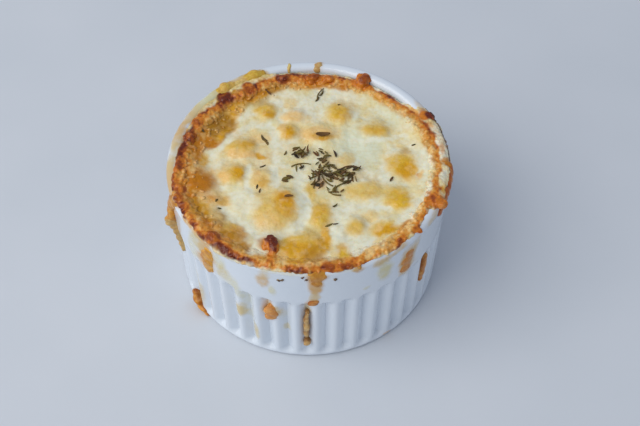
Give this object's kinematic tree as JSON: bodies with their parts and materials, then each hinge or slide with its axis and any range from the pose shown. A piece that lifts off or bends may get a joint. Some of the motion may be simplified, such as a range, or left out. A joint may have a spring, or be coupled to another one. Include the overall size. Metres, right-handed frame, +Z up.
{
  "type": "macaroni and cheese in ramekin",
  "caption": "Baked macaroni and cheese with a browned crust and dried thyme, in its own round fluted ramekin.",
  "frame": {"origin": "middle of the dish on the surface that it stands on", "axes": "+Z up along the dish's axis, -Y towards the side that the picture shows, +X to its right"},
  "size_m": [0.0925, 0.092, 0.0518],
  "materials": {
    "glazed_porcelain": "smooth white glaze",
    "baked_cheese": "moist browned cheese"
  },
  "bodies": {
    "root": {"ramekin": "glazed_porcelain", "filling": "baked_cheese"}
  },
  "joints": []
}
